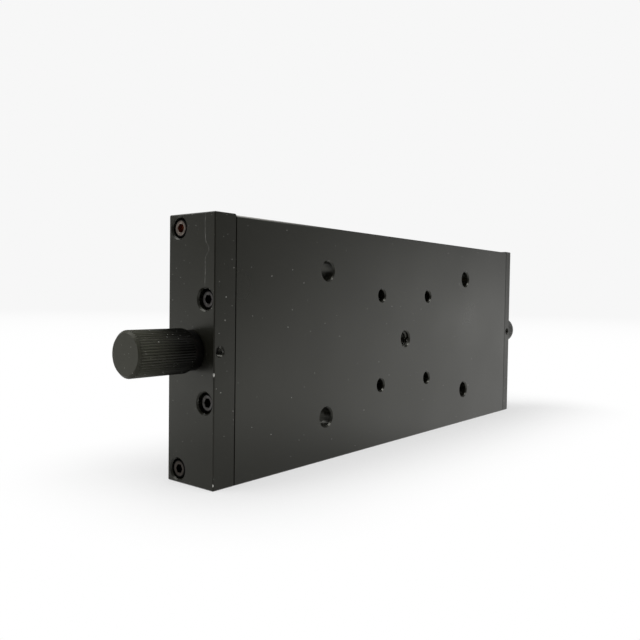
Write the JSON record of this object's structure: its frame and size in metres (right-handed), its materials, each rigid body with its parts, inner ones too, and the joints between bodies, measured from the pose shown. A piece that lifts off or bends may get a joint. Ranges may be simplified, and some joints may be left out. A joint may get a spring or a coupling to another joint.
{
  "type": "linear stage",
  "caption": "Low linear stage: a dovetail table slides on a channel-shaped base, moved by a lead screw that is turned by knurled knobs at its ends.",
  "frame": {"origin": "centre of the mounting hole pattern, on the base's mounting face", "axes": "+X along the travel, away from the drive knob; +Y from the mounting face towards the table; +Z across the base. The stage stands on its long edge, as pictured"},
  "size_m": [0.2367, 0.028, 0.08],
  "materials": {
    "black_anodised_base": "milled aluminium, dull black anodised",
    "black_anodised_plates": "milled aluminium, dull black anodised",
    "black_anodised_table": "milled aluminium, dull black anodised",
    "black_anodised_knobs": "turned and straight-knurled aluminium, black anodised",
    "blackened_steel": "black oxide with worn bright edges",
    "bright_steel": "rolled and turned stainless steel, lightly oiled",
    "bearing_steel": "ground bearing steel",
    "gib_brass": "milled brass",
    "nut_bronze": "milled bronze"
  },
  "bodies": {
    "base": {"base_channel": "black_anodised_base", "knob_end_plate": "black_anodised_plates", "tail_end_plate": "black_anodised_plates", "knob_end_plate_screws": "blackened_steel", "tail_end_plate_screws": "blackened_steel", "knob_end_bearing_set_screw": "blackened_steel", "tail_end_bearing_set_screw": "blackened_steel", "knob_end_bearing_outer_ring": "bearing_steel", "tail_end_bearing_outer_ring": "bearing_steel", "knob_end_bearing_shields": "bearing_steel", "tail_end_bearing_shields": "bearing_steel"},
    "carriage": {"carriage_table": "black_anodised_table", "gib_bar": "gib_brass", "gib_bar_screws": "blackened_steel", "drive_nut": "nut_bronze", "drive_nut_screws": "blackened_steel"},
    "lead_screw": {"lead_screw": "bright_steel", "drive_knob": "black_anodised_knobs", "tail_knob": "black_anodised_knobs", "thrust_collar": "blackened_steel", "thrust_collar_set_screw": "blackened_steel", "drive_knob_set_screw": "blackened_steel", "tail_knob_set_screw": "blackened_steel", "knob_end_bearing_inner_ring": "bearing_steel", "tail_end_bearing_inner_ring": "bearing_steel"},
    "knob_end_ball_set": {"knob_end_bearing_balls": "bearing_steel", "knob_end_bearing_cage": "bearing_steel"},
    "tail_end_ball_set": {"tail_end_bearing_balls": "bearing_steel", "tail_end_bearing_cage": "bearing_steel"}
  },
  "joints": [
    {"name": "carriage_slide", "type": "slide", "parent": "base", "child": "carriage", "axis": [1, 0, 0], "range_m": [-0.05, 0.05]},
    {"name": "lead_screw_turn", "type": "hinge", "parent": "base", "child": "lead_screw", "pos_m": [0, 0.01, 0], "axis": [1, 0, 0], "range_deg": [-9001, 9001]},
    {"name": "knob_end_ball_set_turn", "type": "hinge", "parent": "base", "child": "knob_end_ball_set", "pos_m": [0, 0.01, 0], "axis": [1, 0, 0], "range_deg": [-3826, 3826]},
    {"name": "tail_end_ball_set_turn", "type": "hinge", "parent": "base", "child": "tail_end_ball_set", "pos_m": [0, 0.01, 0], "axis": [1, 0, 0], "range_deg": [-3826, 3826]}
  ],
  "couplings": [
    {"joint": "lead_screw_turn", "follows": "carriage_slide", "rad_per_m": -3141.6},
    {"joint": "knob_end_ball_set_turn", "follows": "carriage_slide", "rad_per_m": -1335.2},
    {"joint": "tail_end_ball_set_turn", "follows": "carriage_slide", "rad_per_m": -1335.2}
  ]
}
